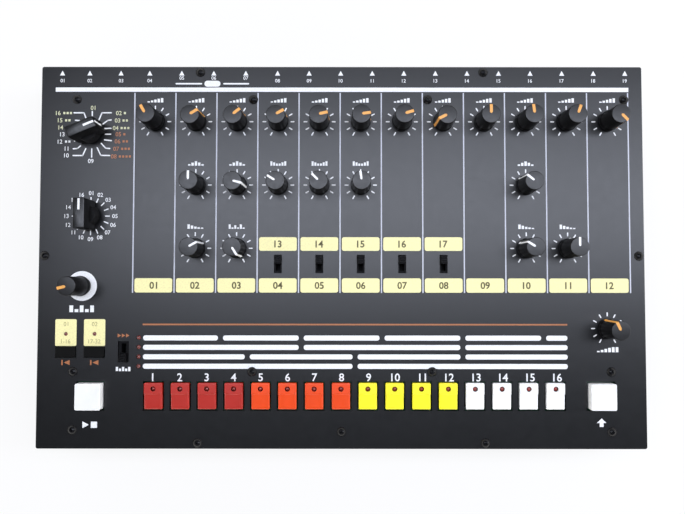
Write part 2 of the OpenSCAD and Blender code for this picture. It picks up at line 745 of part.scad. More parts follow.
front_panel();
case_tray();
circuit_boards();
control_bodies();
rear_sockets();
fasteners();
lamps();
rubber_feet();
for (k = DIALS) at(k[1], k[2], top, k[3]) knob(k[4], k[5]);
for (s = SELECTORS) at(s[1], s[2], top, s[3]) selector_knob(s[4]);
for (s = SLIDES) at(s[1], s[2] + lever_rest(s), 0) lever(s[4]);
for (i = [0:steps - 1])
    color(step_colour(i)) translate([key_x(i), key_y, 0]) step_key();
translate([square_x[0], key_y, 0]) square_key();  // start_key
translate([square_x[1], key_y, 0]) square_key();  // shift_key
translate([black_x[0], black_y, 0]) black_key();  // black_key_1
translate([black_x[1], black_y, 0]) black_key();  // black_key_2
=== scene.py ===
"""Desktop drum machine: looks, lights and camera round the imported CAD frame.

Each group of like pieces is one operator. Sizes are millimetres in the settings and metres in the
meshes. Places on the panel are counted from its middle, +X to the right and +Y to the rear edge.
"""
import json
import math

import bpy
import numpy as np
from bpy.props import FloatProperty, FloatVectorProperty, IntProperty, PointerProperty
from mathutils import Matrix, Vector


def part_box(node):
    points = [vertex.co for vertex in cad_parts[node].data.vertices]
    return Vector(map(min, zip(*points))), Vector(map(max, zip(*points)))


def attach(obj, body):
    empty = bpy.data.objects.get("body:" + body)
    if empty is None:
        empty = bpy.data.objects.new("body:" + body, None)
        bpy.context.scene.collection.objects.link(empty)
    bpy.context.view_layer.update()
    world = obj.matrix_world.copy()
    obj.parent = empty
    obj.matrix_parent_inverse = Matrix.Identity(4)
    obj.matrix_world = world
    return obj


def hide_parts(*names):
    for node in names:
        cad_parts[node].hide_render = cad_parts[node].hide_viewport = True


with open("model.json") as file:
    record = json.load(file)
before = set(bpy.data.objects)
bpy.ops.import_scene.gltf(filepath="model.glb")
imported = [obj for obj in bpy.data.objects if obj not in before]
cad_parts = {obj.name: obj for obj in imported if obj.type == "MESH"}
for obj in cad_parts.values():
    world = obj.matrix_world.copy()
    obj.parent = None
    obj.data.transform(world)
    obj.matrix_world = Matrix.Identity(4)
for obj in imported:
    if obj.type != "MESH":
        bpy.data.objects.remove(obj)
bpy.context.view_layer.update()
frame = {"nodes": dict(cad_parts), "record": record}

bl_info = {
    "name": "Drum machine",
    "version": (1, 0, 0),
    "blender": (4, 5, 0),
    "location": "3D View > Sidebar > Drum machine",
    "description": "Knobs, keys, legends, lights and camera of a desktop drum machine",
    "category": "Object",
}

MM = 0.001
TAU = 2 * np.pi
PANEL_HIGH = np.array(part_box("front_panel")[1])
PANEL_TOP = float(PANEL_HIGH[2])
PANEL_FACE = PANEL_TOP / MM
JOINTS = {j["child"]: j for j in frame["record"]["behaviour"]["joints"]}

# Places and sizes on the panel, in millimetres from its middle.
STRIP_LEFT = -149.6
STRIP_PITCH = 29.7
STRIPS = 12
FIGURE_PITCH = 19.22
FIGURE_MID = 9.7
FIGURE_SHARE = 0.7    # a figure's height as a part of its font's size
PRINT_T = 0.05
LINE_LIFT = 0.04    # a pointer line stands this far above its knob
LINE_SINK = 0.2     # and reaches this far into it
SHAFT_R = 3.0
STEM_W = 4.0

# The room and the camera, in metres and radians.
SOFTBOX_SIZE = (3.2, 0.38)
SOFTBOX_PLACE = (0.93, 0.196, PANEL_TOP + 1.2)
SOFTBOX_TINT = (0.815, 0.865, 1.0)
WALL_TINT = (1.0, 0.985, 0.96)
WALL_END, CEILING_START = 0.25, 0.55    # sines of the heights between which the walls fade out
FLOOR_GLOW = 0.8    # part of the floor's white that is its own where it is seen
FLOOR_HALF = 4    # half the floor's width
CAMERA_PLACE = (0.00093, -0.01956, PANEL_TOP + 0.4856)
CAMERA_TURN = (0.0386, 0.0005, 0.0008)
# Painted highlight: lamps in front of this line take the lighter key-lamp colour.
KEY_LAMP_LIMIT = -0.088    # the lamps in the step keys lie in front of this place


# ---------- surfaces ----------

def grid_faces(rows, columns, wrap_rows=False, wrap_columns=False):
    """Quads between neighbours of a grid; a wrapped direction joins its last line to its first."""
    a = np.arange(rows if wrap_rows else rows - 1)
    b = np.arange(columns if wrap_columns else columns - 1)
    a, b = np.meshgrid(a, b, indexing="ij")
    a1 = (a + 1) % rows
    b1 = (b + 1) % columns
    return np.stack([a * columns + b, a * columns + b1, a1 * columns + b1, a1 * columns + b],
                    -1).reshape(-1, 4)


def weld(points, faces):
    """Points closer than a micrometre become one, and faces drop the corners that this doubles."""
    _, first, back = np.unique(np.round(points, 6), axis=0, return_index=True, return_inverse=True)
    back = back.ravel()
    out = []
    for face in faces:
        corners = [int(back[i]) for i in face]
        kept = [c for i, c in enumerate(corners) if c != corners[i - 1]]
        if len(set(kept)) > 2:
            out.append(kept)
    return points[first], out


def loft(rings, caps=True, wrap=False):
    """A closed skin through rings of points, each anticlockwise seen from above and listed upwards.
    Caps are flat faces on the first and last ring; wrap joins the last ring to the first."""
    rings = np.asarray(rings, float)
    levels, count = rings.shape[:2]
    faces = [list(f) for f in grid_faces(levels, count, wrap, True)]
    if caps and not wrap:
        faces.append(list(range(count))[::-1])
        faces.append([(levels - 1) * count + i for i in range(count)])
    return rings.reshape(-1, 3), faces


def level(outline, z):
    """An outline's points at a height, which is one number or one for each point."""
    return np.concatenate([outline, np.broadcast_to(z, (len(outline),))[:, None]], -1)


def circle(radius, count):
    """Points of a circle, (r cos t, r sin t), in equal steps of t."""
    t = np.arange(count) * TAU / count
    return np.stack([radius * np.cos(t), radius * np.sin(t)], -1)


def lathe(profile, count):
    """Turned surface: each (r, z) of the profile goes round to (r cos t, r sin t, z). The profile runs
    from one end on the axis to the other, outside on its right."""
    profile = np.asarray(profile, float)
    t = np.arange(count) * TAU / count
    rings = np.stack([profile[:, :1] * np.cos(t), profile[:, :1] * np.sin(t),
                      np.repeat(profile[:, 1:], count, 1)], -1)
    return weld(rings.reshape(-1, 3), grid_faces(len(profile), count, False, True))


def eased(points, radii, steps=5):
    """A path whose corners are rounded: at each corner a quadratic curve runs from one leg to the
    other, starting its radius away along each leg."""
    points = [np.array(p, float) for p in points]
    out = [points[0]]
    for a, b, c, r in zip(points, points[1:], points[2:], radii):
        if r <= 0:
            out.append(b)
            continue
        start = b + (a - b) / np.linalg.norm(a - b) * r
        end = b + (c - b) / np.linalg.norm(c - b) * r
        for s in np.linspace(0, 1, steps + 1):
            out.append((1 - s) ** 2 * start + 2 * s * (1 - s) * b + s ** 2 * end)
    out.append(points[-1])
    return np.array(out)


def box_distance(points, half, corner):
    """Signed distance of points from the outline of a rectangle with round corners."""
    q = np.abs(points) - (np.array(half) - corner)
    return np.linalg.norm(np.maximum(q, 0), axis=-1) + np.minimum(q.max(-1), 0) - corner


def even_angles(half, corner, centre, count):
    """Directions from a centre to points spaced evenly along a round-cornered rectangle."""
    quarter = np.linspace(0, np.pi / 2, 9)
    t = (quarter + np.arange(4)[:, None] * np.pi / 2).ravel()
    sx = np.repeat([1, -1, -1, 1], 9) * (half[0] - corner)
    sy = np.repeat([1, 1, -1, -1], 9) * (half[1] - corner)
    outline = np.stack([sx + corner * np.cos(t), sy + corner * np.sin(t)], -1)
    outline = np.vstack([outline, outline[:1]])
    run = np.concatenate([[0], np.cumsum(np.linalg.norm(np.diff(outline, axis=0), axis=1))])
    s = np.arange(count) * run[-1] / count
    x = np.interp(s, run, outline[:, 0]) - centre[0]
    y = np.interp(s, run, outline[:, 1]) - centre[1]
    return np.arctan2(y, x)


def outline_at(angles, half, corner, centre, inset):
    """Where rays from a centre meet the rectangle's outline moved inwards by inset, found by halving
    the ray's length forty times."""
    ray = np.stack([np.cos(angles), np.sin(angles)], -1)
    low = np.zeros(len(angles))
    high = np.full(len(angles), 4 * max(half))
    for _ in range(40):
        mid = (low + high) / 2
        inside = box_distance(centre + ray * mid[:, None], half, corner) < -inset
        low = np.where(inside, mid, low)
        high = np.where(inside, high, mid)
    return centre + ray * low[:, None]


def cap_shell(half, corner, edge, top, skirt, wall, count, steps, centre=(0, 0), hole=0.0, bevel=0.0):
    """Moulded cap, open below: rings run up a hole's wall, over the top, round the edge, down the
    skirt, under it and back inside. top(x, y) is the height; the edge is a quarter circle. Without a
    hole the middle closes in a point. A bevel adds a ring that far inside the outline, for a fold in
    the top to follow."""
    half = np.array(half, float)
    centre = np.array(centre, float)
    angles = even_angles(half, corner, centre, count)
    ray = np.stack([np.cos(angles), np.sin(angles)], -1)
    rings = []

    def add(xy, drop=0.0):
        rings.append(level(xy, top(xy[:, 0], xy[:, 1]) - drop))

    inner = centre + ray * hole
    rim = 0.15 if hole else 0.0
    if hole:
        add(inner, wall)
        add(inner, rim)
    start = centre + ray * (hole + rim)
    flat = outline_at(angles, half, corner, centre, max(edge, bevel))
    for s in np.linspace(0, 1, steps + 1):
        add(start + (flat - start) * s)
    if bevel > edge:
        add(outline_at(angles, half, corner, centre, edge))
    for a in np.linspace(0, np.pi / 2, 5)[1:]:
        add(outline_at(angles, half, corner, centre, edge * (1 - math.sin(a))), edge * (1 - math.cos(a)))
    inside = outline_at(angles, half, corner, centre, wall)
    rings.append(level(outline_at(angles, half, corner, centre, 0.0), skirt))
    rings.append(level(inside, skirt))
    add(inside, wall)
    if hole:
        return loft(rings[::-1], wrap=True)
    add(start, wall)
    return weld(*loft(rings[::-1], caps=False))


def prism(outline, low, high):
    """An outline carried straight up from one height to another."""
    return loft([level(outline, low), level(outline, high)])


def placed(shape, x=0.0, y=0.0, z=0.0, clockwise=0.0):
    """A shape turned clockwise, seen from above, by an angle in degrees and moved."""
    points, faces = shape
    a = -math.radians(clockwise)
    turn = np.array([[math.cos(a), -math.sin(a), 0], [math.sin(a), math.cos(a), 0], [0, 0, 1]])
    return points @ turn.T + np.array([x, y, z]), faces


def ribbon(points):
    """A pointer's band over a surface: points[i, j] is a place at step i along it and j across it. The
    normal is the step along the band turned upright; the band is lifted above it and sunk below."""
    along = np.gradient(points, axis=0)
    normals = np.stack([np.zeros(points.shape[:2]), -along[..., 2], along[..., 1]], -1)
    normals /= np.linalg.norm(normals, axis=-1, keepdims=True)
    over = points + normals * LINE_LIFT
    under = points - normals * LINE_SINK
    points, faces = loft(np.concatenate([over, under[:, ::-1]], 1))
    return points, [f[::-1] for f in faces]


# ---------- pieces ----------

def new_object(name, points, faces, materials):
    """An object in the scene from points in metres."""
    mesh = bpy.data.meshes.new(name)
    mesh.from_pydata(points.tolist(), [], faces)
    for stuff in materials:
        mesh.materials.append(stuff)
    made = bpy.data.objects.new(name, mesh)
    bpy.context.scene.collection.objects.link(made)
    return made


def piece(name, shapes, materials, body, replaced=(), sharp=35.0):
    """Makes one object from shapes in millimetres, each with the index of its material. Faces are
    smooth, with sharp edges where neighbours meet at more than the given angle."""
    points = []
    faces = []
    slots = []
    start = 0
    for (verts, polys), index in shapes:
        points.append(verts)
        faces.extend([[int(i) + start for i in f] for f in polys])
        slots.extend([index] * len(polys))
        start += len(verts)
    made = new_object(name, np.concatenate(points) * MM, faces, [material(m) for m in materials])
    mesh = made.data
    mesh.polygons.foreach_set("material_index", slots)
    mesh.polygons.foreach_set("use_smooth", [True] * len(faces))
    mesh.set_sharp_from_angle(angle=math.radians(sharp))
    mesh.validate()
    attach(made, body)
    if replaced:
        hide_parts(*replaced)


def repaint(node, name):
    """Gives a CAD node that stays in view a finer material in place of its packed one."""
    for place in frame["nodes"][node].material_slots:
        place.material = material(name)


def joint_place(node):
    """A hinge's place on the panel, in millimetres from the panel's middle."""
    x, y, _ = JOINTS[node]["pos_m"]
    return x / MM, y / MM


def node_box(node):
    """A CAD node's box in millimetres: low corner, high corner, middle, and half its width and depth."""
    low, high = (np.array(c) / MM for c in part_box(node))
    return low, high, (low + high) / 2, (high - low)[:2] / 2


# ---------- materials ----------

class Nodes:
    """Builds the nodes of one material or world."""

    def __init__(self, name, kind="materials"):
        self.owner = getattr(bpy.data, kind).new(name)
        self.owner.use_nodes = True
        self.tree = self.owner.node_tree
        self.shader = self.tree.nodes.get("Principled BSDF")
        self.places = self.add("ShaderNodeTexCoord").outputs

    def add(self, kind, **values):
        node = self.tree.nodes.new(kind)
        for key, value in values.items():
            if key in node.inputs:
                node.inputs[key].default_value = value
            else:
                setattr(node, key, value)
        return node

    def link(self, a, b):
        self.tree.links.new(a, b)

    def step(self, kind, *values, **settings):
        """Adds a node, gives each of its first inputs a socket or a number, and returns its first
        output."""
        node = self.add(kind, **settings)
        for value, place in zip(values, node.inputs):
            if np.isscalar(value):
                place.default_value = value
            else:
                self.link(value, place)
        return node.outputs[0]

    def set(self, **values):
        """Sets the shader's inputs."""
        for key, value in values.items():
            self.shader.inputs[key.replace("_", " ")].default_value = value

    def drive(self, **sockets):
        """Links sockets to the shader's inputs."""
        for key, socket in sockets.items():
            self.link(socket, self.shader.inputs[key.replace("_", " ")])

    def noise(self, scale, detail=3.0, rough=0.5):
        return self.step("ShaderNodeTexNoise", self.places["Object"], Scale=scale, Detail=detail,
                         Roughness=rough)

    def axis(self, vector, axis):
        """One of a vector's three parts."""
        split = self.add("ShaderNodeSeparateXYZ")
        self.link(vector, split.inputs[0])
        return split.outputs[axis]

    def above(self, axis, limit):
        """1 where a place is past a limit along one axis, in metres."""
        return self.step("ShaderNodeMath", self.axis(self.places["Object"], axis), limit,
                         operation="GREATER_THAN")

    def span(self, value, start, end, low, high):
        """A number that runs from low to high as value goes from start to end."""
        return self.step("ShaderNodeMapRange", value, start, end, low, high)

    def ramp(self, value, low, high, start=0.3, end=0.7):
        """A colour or grey that runs from low to high as value goes from start to end."""
        node = self.add("ShaderNodeValToRGB")
        first, last = node.color_ramp.elements
        first.position, last.position = start, end
        first.color, last.color = rgba(low), rgba(high)
        self.link(value, node.inputs["Fac"])
        return node.outputs["Color"]

    def mottled(self, noise, colour, dark, light):
        """A colour that wanders between two strengths of itself."""
        return self.ramp(noise, shaded(colour, dark), shaded(colour, light))

    def blend(self, part, low, high):
        """The low colour where part is 0, the high one where it is 1."""
        node = self.add("ShaderNodeMix", data_type="RGBA")
        for place, socket in ((0, part), (6, low), (7, high)):
            self.link(socket, node.inputs[place])
        return node.outputs[2]

    def bump(self, height, strength, distance):
        node = self.add("ShaderNodeBump", Strength=strength, Distance=distance)
        self.link(height, node.inputs["Height"])
        self.drive(Normal=node.outputs["Normal"])

    def show(self, part, first, second):
        """Shows the first shader where part is 0 and the second where it is 1."""
        mix = self.step("ShaderNodeMixShader", part, first, second)
        output = [node for node in self.tree.nodes if "Output" in node.name][0]
        self.link(mix, output.inputs["Surface"])


def rgba(value):
    """A colour or one grey as four numbers."""
    if np.isscalar(value):
        return (value, value, value, 1.0)
    return (*value[:3], 1.0)


def shaded(colour, factor):
    return tuple(min(1.0, c * factor) for c in colour[:3])


def powder_coat(name, colour, roughness, gloss):
    """Satin powder coat: a fine pebbled skin, faint mottling and a sheen that varies a little."""
    n = Nodes(name)
    n.drive(Base_Color=n.mottled(n.noise(90.0, 4.0), colour, 0.88, 1.12),
            Roughness=n.ramp(n.noise(260.0, 2.0), roughness - 0.01, roughness + 0.015))
    n.set(Specular_IOR_Level=gloss)
    n.bump(n.noise(1700.0, 2.0), 0.05, 0.0002)
    return n


def moulded(name, colour, roughness, grain=0.06, gloss=0.5, mottle=0.12, coat=0.0):
    """Moulded plastic: nearly even colour, a fine spark-eroded grain and a soft change of gloss."""
    n = Nodes(name)
    n.drive(Base_Color=n.mottled(n.noise(140.0, 3.0), colour, 1 - mottle, 1 + mottle),
            Roughness=n.ramp(n.noise(420.0, 2.0), roughness - 0.04, roughness + 0.05))
    n.set(Coat_Weight=coat, Coat_Roughness=0.12, Specular_IOR_Level=gloss)
    n.bump(n.noise(3200.0, 2.0), grain, 0.0001)
    return n


def knob_plastic(name, colour):
    """Knob plastic: a satin top and duller sides, parted by how far the surface faces upward."""
    n = moulded(name, colour, 0.33, 0.04)
    up = n.axis(n.add("ShaderNodeNewGeometry").outputs["Normal"], 2)
    n.drive(Specular_IOR_Level=n.span(up, 0.6, 0.95, 0.08, 0.44))
    return n


def ink(name, colour, roughness=0.5):
    """Screen-printed ink: an even film with faint pinholes."""
    n = Nodes(name)
    n.drive(Base_Color=n.ramp(n.noise(900.0, 2.0), shaded(colour, 0.9), colour, 0.35, 0.6))
    n.set(Roughness=roughness)
    n.bump(n.noise(2600.0, 1.0), 0.05, 0.0001)
    return n


def turned_metal(name, colour, roughness):
    """Plated metal, faintly mottled from handling."""
    n = Nodes(name)
    n.drive(Base_Color=n.mottled(n.noise(300.0, 5.0, 0.6), colour, 0.8, 1.15),
            Roughness=n.ramp(n.noise(700.0, 3.0), roughness - 0.05, roughness + 0.08))
    n.set(Metallic=1.0)
    return n


def two_stuffs(name, axis, limit, low, high):
    """One material for a CAD node of two stuffs that part at a plane: (colour, roughness, metallic) on
    the low side and on the high side, each with a fine mottle. The low side is dull."""
    n = Nodes(name)
    side = n.above(axis, limit)
    mottle = n.noise(400.0, 3.0)
    n.drive(Base_Color=n.blend(side, n.mottled(mottle, low[0], 0.85, 1.1),
                               n.mottled(mottle, high[0], 0.85, 1.1)),
            Roughness=n.ramp(side, low[1], high[1]), Metallic=n.ramp(side, low[2], high[2]),
            Specular_IOR_Level=n.ramp(side, 0.1, 0.5))
    n.bump(n.noise(2200.0, 2.0), 0.05, 0.0001)
    return n


def lamp_plastic(name, colour, lit_front_colour):
    """Tinted lamps: deep colour under a clear gloss, a little light passing through. The lamps in the
    step keys, in front of a line across the panel, take a lighter copy of the same colour: a painted
    highlight for the light they catch there."""
    n = Nodes(name)
    mottle = n.noise(600.0, 2.0)
    # Painted highlight: in front of the limit the lamps take a lighter copy of the lamp colour, for the
    # light they catch inside the step keys.
    n.drive(Base_Color=n.blend(n.above(1, KEY_LAMP_LIMIT), n.mottled(mottle, lit_front_colour, 0.8, 1.1),
                               n.mottled(mottle, colour, 0.8, 1.1)))
    n.set(Roughness=0.2, Coat_Weight=0.6, Coat_Roughness=0.05, Subsurface_Weight=0.2,
          Subsurface_Radius=(0.002, 0.0005, 0.0004), Subsurface_Scale=0.5)
    return n


def clear_plastic(name):
    """Clear acrylic cap in close contact with a white block: milky and glossy, its polish uneven."""
    n = Nodes(name)
    n.set(Transmission_Weight=0.08, IOR=1.49, Coat_Weight=0.5, Coat_Roughness=0.08)
    n.drive(Roughness=n.ramp(n.noise(500.0, 3.0), 0.14, 0.24),
            Base_Color=n.ramp(n.noise(160.0, 2.0), (0.93, 0.94, 0.94), (0.98, 0.98, 0.98)))
    return n


MATERIALS = {}
JET = (0.004, 0.004, 0.005)


def material(name):
    """Materials are made once and shared by name. After its colour, a moulded one has its roughness,
    grain, gloss, mottle and coat."""
    if name not in MATERIALS:
        s = bpy.context.scene.drum_finish
        make, *values = {
            "panel_paint": (powder_coat, s.panel, 0.33, 0.53),
            "tray_paint": (powder_coat, s.tray, 0.48, 0.5),
            "circuit_board": (moulded, (0.02, 0.11, 0.05), 0.35, 0.02, 0.5, 0.12, 0.4),
            "control_housing": (two_stuffs, 2, PANEL_TOP - 0.0005, ((0.006, 0.006, 0.007), 0.6, 0.0),
                                ((0.30, 0.30, 0.31), 0.35, 0.9)),
            "socket_black": (two_stuffs, 1, PANEL_HIGH[1] - 0.0004, ((0.02, 0.02, 0.022), 0.35, 0.0),
                             ((0.42, 0.42, 0.43), 0.28, 0.95)),
            "screw_black": (moulded, JET, 0.28, 0.02, 0.2),
            "shaft_metal": (turned_metal, (0.45, 0.45, 0.46), 0.3),
            "foot_rubber": (moulded, (0.018, 0.018, 0.018), 0.75, 0.15),
            "knob_black": (knob_plastic, s.knob),
            "hub_black": (moulded, s.knob, 0.5, 0.04, 0.12),
            "lever_black": (moulded, JET, 0.45, 0.06, 0.15),
            "key_black": (moulded, (0.003, 0.003, 0.003), 0.6, 0.06, 0.1),
            "key_red": (moulded, s.key_red, 0.4, 0.04, 0.5, 0.04),
            "key_orange": (moulded, s.key_orange, 0.4, 0.04, 0.5, 0.04),
            "key_yellow": (moulded, s.key_yellow, 0.4, 0.04, 0.5, 0.03),
            "key_white": (moulded, s.key_white, 0.4, 0.04, 0.5, 0.02),
            "key_diffuser": (moulded, (0.86, 0.86, 0.84), 0.5, 0.02, 0.5, 0.02),
            "key_clear": (clear_plastic,),
            # the step-key lamps take a painted lighter copy of the lamp colour
            "lamp_red": (lamp_plastic, s.lamp, s.key_lamp),
            "ink_white": (ink, s.ink_white),
            "ink_line": (ink, s.ink_line),
            "ink_yellow": (ink, s.ink_yellow),
            "ink_pale": (ink, s.ink_pale),
            "ink_orange": (ink, s.ink_orange),
            "ink_dark": (ink, (0.085, 0.070, 0.012)),
            "ink_olive": (ink, (0.42, 0.38, 0.16)),
            "pointer_orange": (ink, s.pointer, 0.4),
        }[name]
        MATERIALS[name] = make(name, *values).owner
    return MATERIALS[name]


# ---------- printed marks ----------

def strip_mark(x0, y0, x1, y1, width, steps=4):
    """A straight mark with round ends: half circles round its two ends, joined."""
    along = math.atan2(y1 - y0, x1 - x0)
    t = np.linspace(-np.pi / 2, np.pi / 2, steps + 1) + along
    head = np.stack([x1 + width / 2 * np.cos(t), y1 + width / 2 * np.sin(t)], -1)
    tail = np.stack([x0 - width / 2 * np.cos(t), y0 - width / 2 * np.sin(t)], -1)
    return np.vstack([head, tail])


def bar_mark(x0, y0, x1, y1):
    """A plain rectangle between two corners."""
    return np.array([[x0, y0], [x1, y0], [x1, y1], [x0, y1]], float)


def plate_mark(x, y, width, depth, corner):
    """A rectangle with quarter-circle corners."""
    t = (np.linspace(0, np.pi / 2, 6) + np.arange(4)[:, None] * np.pi / 2).ravel()
    sx = np.repeat([1, -1, -1, 1], 6) * (width / 2 - corner)
    sy = np.repeat([1, 1, -1, -1], 6) * (depth / 2 - corner)
    return np.stack([x + sx + corner * np.cos(t), y + sy + corner * np.sin(t)], -1)


def ring_mark(x, y, inner, outer, count=72):
    """A flat ring: four circles joined in turn, each level with the next."""
    a, b = circle(inner, count), circle(outer, count)
    points, faces = loft([level(a, 0), level(b, 0), level(b, PRINT_T), level(a, PRINT_T)], wrap=True)
    return points + np.array([x, y, 0]), faces


def words(text, size, x, y, weight=0.0):
    """Plain numerals as a flat mesh, centred on a point. size is the height of the figures, and weight
    thickens their strokes by that part of it."""
    curve = bpy.data.curves.new("figures", "FONT")
    curve.body = text
    curve.size = size / FIGURE_SHARE
    curve.align_x = "CENTER"
    curve.align_y = "CENTER"
    curve.offset = weight * size
    curve.extrude = PRINT_T / 2
    curve.resolution_u = 3
    made = bpy.data.objects.new("figures", curve)
    bpy.context.scene.collection.objects.link(made)
    mesh = bpy.data.meshes.new_from_object(made.evaluated_get(bpy.context.evaluated_depsgraph_get()))
    points = np.empty(len(mesh.vertices) * 3)
    mesh.vertices.foreach_get("co", points)
    faces = [list(p.vertices) for p in mesh.polygons]
    bpy.data.objects.remove(made)
    bpy.data.meshes.remove(mesh)
    bpy.data.curves.remove(curve)
    points = points.reshape(-1, 3)
    middle = (points.max(0) + points.min(0)) / 2
    points = points - middle + np.array([x, y, PRINT_T / 2])
    return weld(points, faces)


def shaft(low, high):
    """A control's shaft, a plain cylinder."""
    return lathe([(0, low), (SHAFT_R, low), (SHAFT_R, high), (0, high)], 32)


def stem(low, high, y=0):
    """A key's square stem."""
    return prism(plate_mark(0, y, STEM_W, STEM_W, 0.2), low, high)


def flat_cap(half, corner, edge, top, skirt, wall, count):
    """A cap whose top has one height."""
    return cap_shell(half, corner, edge, lambda x, y: top + 0 * x, skirt, wall, count, 6)


def at_middle(middle, *shapes):
    """Shapes of a one-colour piece, moved to the middle of a node's box."""
    return [(placed(shape, middle[0], middle[1]), 0) for shape in shapes]


class Sheet:
    """Collects the marks of one ink and prints them on the panel as one piece."""

    def __init__(self, name, ink_name, level=0.0):
        self.name, self.ink, self.level = name, ink_name, level
        self.shapes = []

    def outline(self, outline):
        self.shapes.append(prism(outline, 0.0, PRINT_T))

    def line(self, *points, width):
        for (x0, y0), (x1, y1) in zip(points, points[1:]):
            self.outline(strip_mark(x0, y0, x1, y1, width))

    def figures(self, text, size, x, y, weight=0.0):
        self.shapes.append(words(text, size, x, y, weight))

    def print(self):
        shapes = [(placed(s, z=PANEL_FACE + self.level), 0) for s in self.shapes]
        piece(self.name, shapes, [self.ink], "case")


def strip_x(c):
    return STRIP_LEFT + (c + 0.5) * STRIP_PITCH


def figure_x(i):
    return FIGURE_MID + (i - 7.5) * FIGURE_PITCH


def two_digits(number):
    return str(number).zfill(2)


def ray_marks(sheet, x, y, angles, inner, outer, width):
    """A mark at each angle round a dial, clockwise from the rear."""
    for a in np.radians(angles):
        s, c = math.sin(a), math.cos(a)
        sheet.line((x + inner * s, y + inner * c), (x + outer * s, y + outer * c), width=width)


def rising_bars(sheet, x, y, width, height, order):
    """Upright bars side by side, their heights in the given order: a plain sign for a control."""
    step = width / len(order)
    for i, h in enumerate(order):
        left = x - width / 2 + i * step
        sheet.outline(bar_mark(left + step * 0.14, y - height / 2, left + step * 0.86,
                               y - height / 2 + height * h))


# The mode selector's sixteen places, clockwise from the rear: ink, where the number stands, and the
# corners of its leader, in millimetres from the selector's axis.
MODE_LEGENDS = (
    ("pale", (0.5, 18.8), (0, 11.7), (0, 16.2)),
    ("pale", (20.4, 15.0), (4.6, 9.3), (7.0, 15.2), (13.7, 15.2)),
    ("pale", (20.7, 9.6), (7.4, 6.7), (11.3, 9.7), (13.7, 10.0)),
    ("pale", (20.6, 4.1), (8.9, 3.7), (13.7, 3.9)),
    ("orange", (20.2, -0.4), (9.6, -0.4), (13.5, -0.4)),
    ("orange", (20.9, -5.6), (9.1, -4.5), (14.1, -5.1)),
    ("orange", (21.2, -11.0), (6.8, -7.1), (10.0, -10.6), (13.0, -10.8)),
    ("orange", (20.8, -16.6), (3.9, -10.2), (6.5, -15.8), (13.0, -15.9)),
    ("white", (-0.6, -19.9), (0, -11.0), (0, -17.1)),
    ("white", (-18.2, -15.8), (-13.4, -15.9), (-6.5, -15.9), (-4.3, -10.8)),
    ("white", (-18.2, -10.9), (-13.4, -11.0), (-10.4, -10.8), (-8.2, -8.9)),
    ("white", (-20.6, -5.8), (-12.6, -5.4), (-9.6, -4.6)),
    ("white", (-20.2, -0.5)),
    ("pale", (-21.4, 4.5)),
    ("pale", (-20.8, 9.7), (-12.1, 9.7), (-9.1, 9.5)),
    ("pale", (-21.0, 15.0), (-13.2, 15.2), (-6.0, 15.2), (-4.5, 11.3)),
)
MODE_GROUPS = (0, 1, 2, 3, 1, 2, 3, 4, 0, 0, 0, 2, 1, 1, 2, 3)
LEVEL_SIGN = (0.25, 0.45, 0.65, 0.85, 1.0)
DECAY_SIGN = (1.0, 0.72, 0.5, 0.34, 0.24)
TONE_SIGN = (0.35, 0.7, 1.0, 0.7, 0.35)
SNAP_SIGN = (1.0, 0.3, 0.8, 0.3, 1.0, 0.3)
TUNE_SIGN = (1.0, 0.75, 0.5, 0.5, 0.75, 1.0)
BEAT_SIGN = (1.0, 0.45, 1.0, 0.45, 1.0)
BANK_SIGN = (1.0, 0.6, 1.0, 0.6, 1.0)
DIAL_ANGLES = np.arange(-150, 151, 30)
VOICE_ANGLES = np.arange(0, 360, 22.5)
SELECTOR_TURNS = (("mode_selector", 67.5), ("voice_selector", 0.0))    # degrees clockwise from the rear
GROUPS_OF_STEPS = ((3, 3, 3, 3, 3, 1), (6, 6, 4), (4, 4, 4, 4), (8, 8))


# ---------- settings ----------

def colour(name, default, text):
    return FloatVectorProperty(name=name, description=text, default=default, size=3, min=0, max=1,
                               subtype="COLOR")


def size(name, default, low, high, text, unit="NONE"):
    return FloatProperty(name=name, description=text, default=default, min=low, max=high, unit=unit)


class DrumFinish(bpy.types.PropertyGroup):
    """Colours of the machine's finishes."""
    panel: colour("Panel", (0.0035, 0.0038, 0.0046), "Powder coat of the front panel")
    tray: colour("Tray", (0.010, 0.010, 0.011), "Powder coat of the tray")
    knob: colour("Knob", (0.0045, 0.0045, 0.005), "Plastic of the knobs")
    pointer: colour("Pointer", (0.78, 0.36, 0.07), "Pointer of the upper knobs")
    key_red: colour("Red key", (0.43, 0.0205, 0.0125), "First four step keys")
    key_orange: colour("Orange key", (0.78, 0.060, 0.002), "Second four step keys")
    key_yellow: colour("Yellow key", (0.95, 0.86, 0.02), "Third four step keys")
    key_white: colour("White key", (0.90, 0.90, 0.89), "Last four step keys")
    lamp: colour("Lamp", (0.13, 0.016, 0.012), "Lamps of the banks and the black keys")
    # Painted highlight: the lamp colour made lighter for the lamps in the step keys, for the light they
    # catch there.
    key_lamp: colour("Key lamp", (0.30, 0.040, 0.034), "Lamps in the step keys")
    ink_white: colour("White ink", (0.88, 0.89, 0.91), "Lines and figures")
    ink_line: colour("Line ink", (0.60, 0.62, 0.70), "Lines between the channels")
    ink_yellow: colour("Yellow ink", (0.94, 0.87, 0.43), "Plates that name the channels")
    ink_pale: colour("Pale ink", (0.70, 0.70, 0.45), "Figures beside the mode selector")
    ink_orange: colour("Orange ink", (0.42, 0.150, 0.055), "Orange lines and figures")


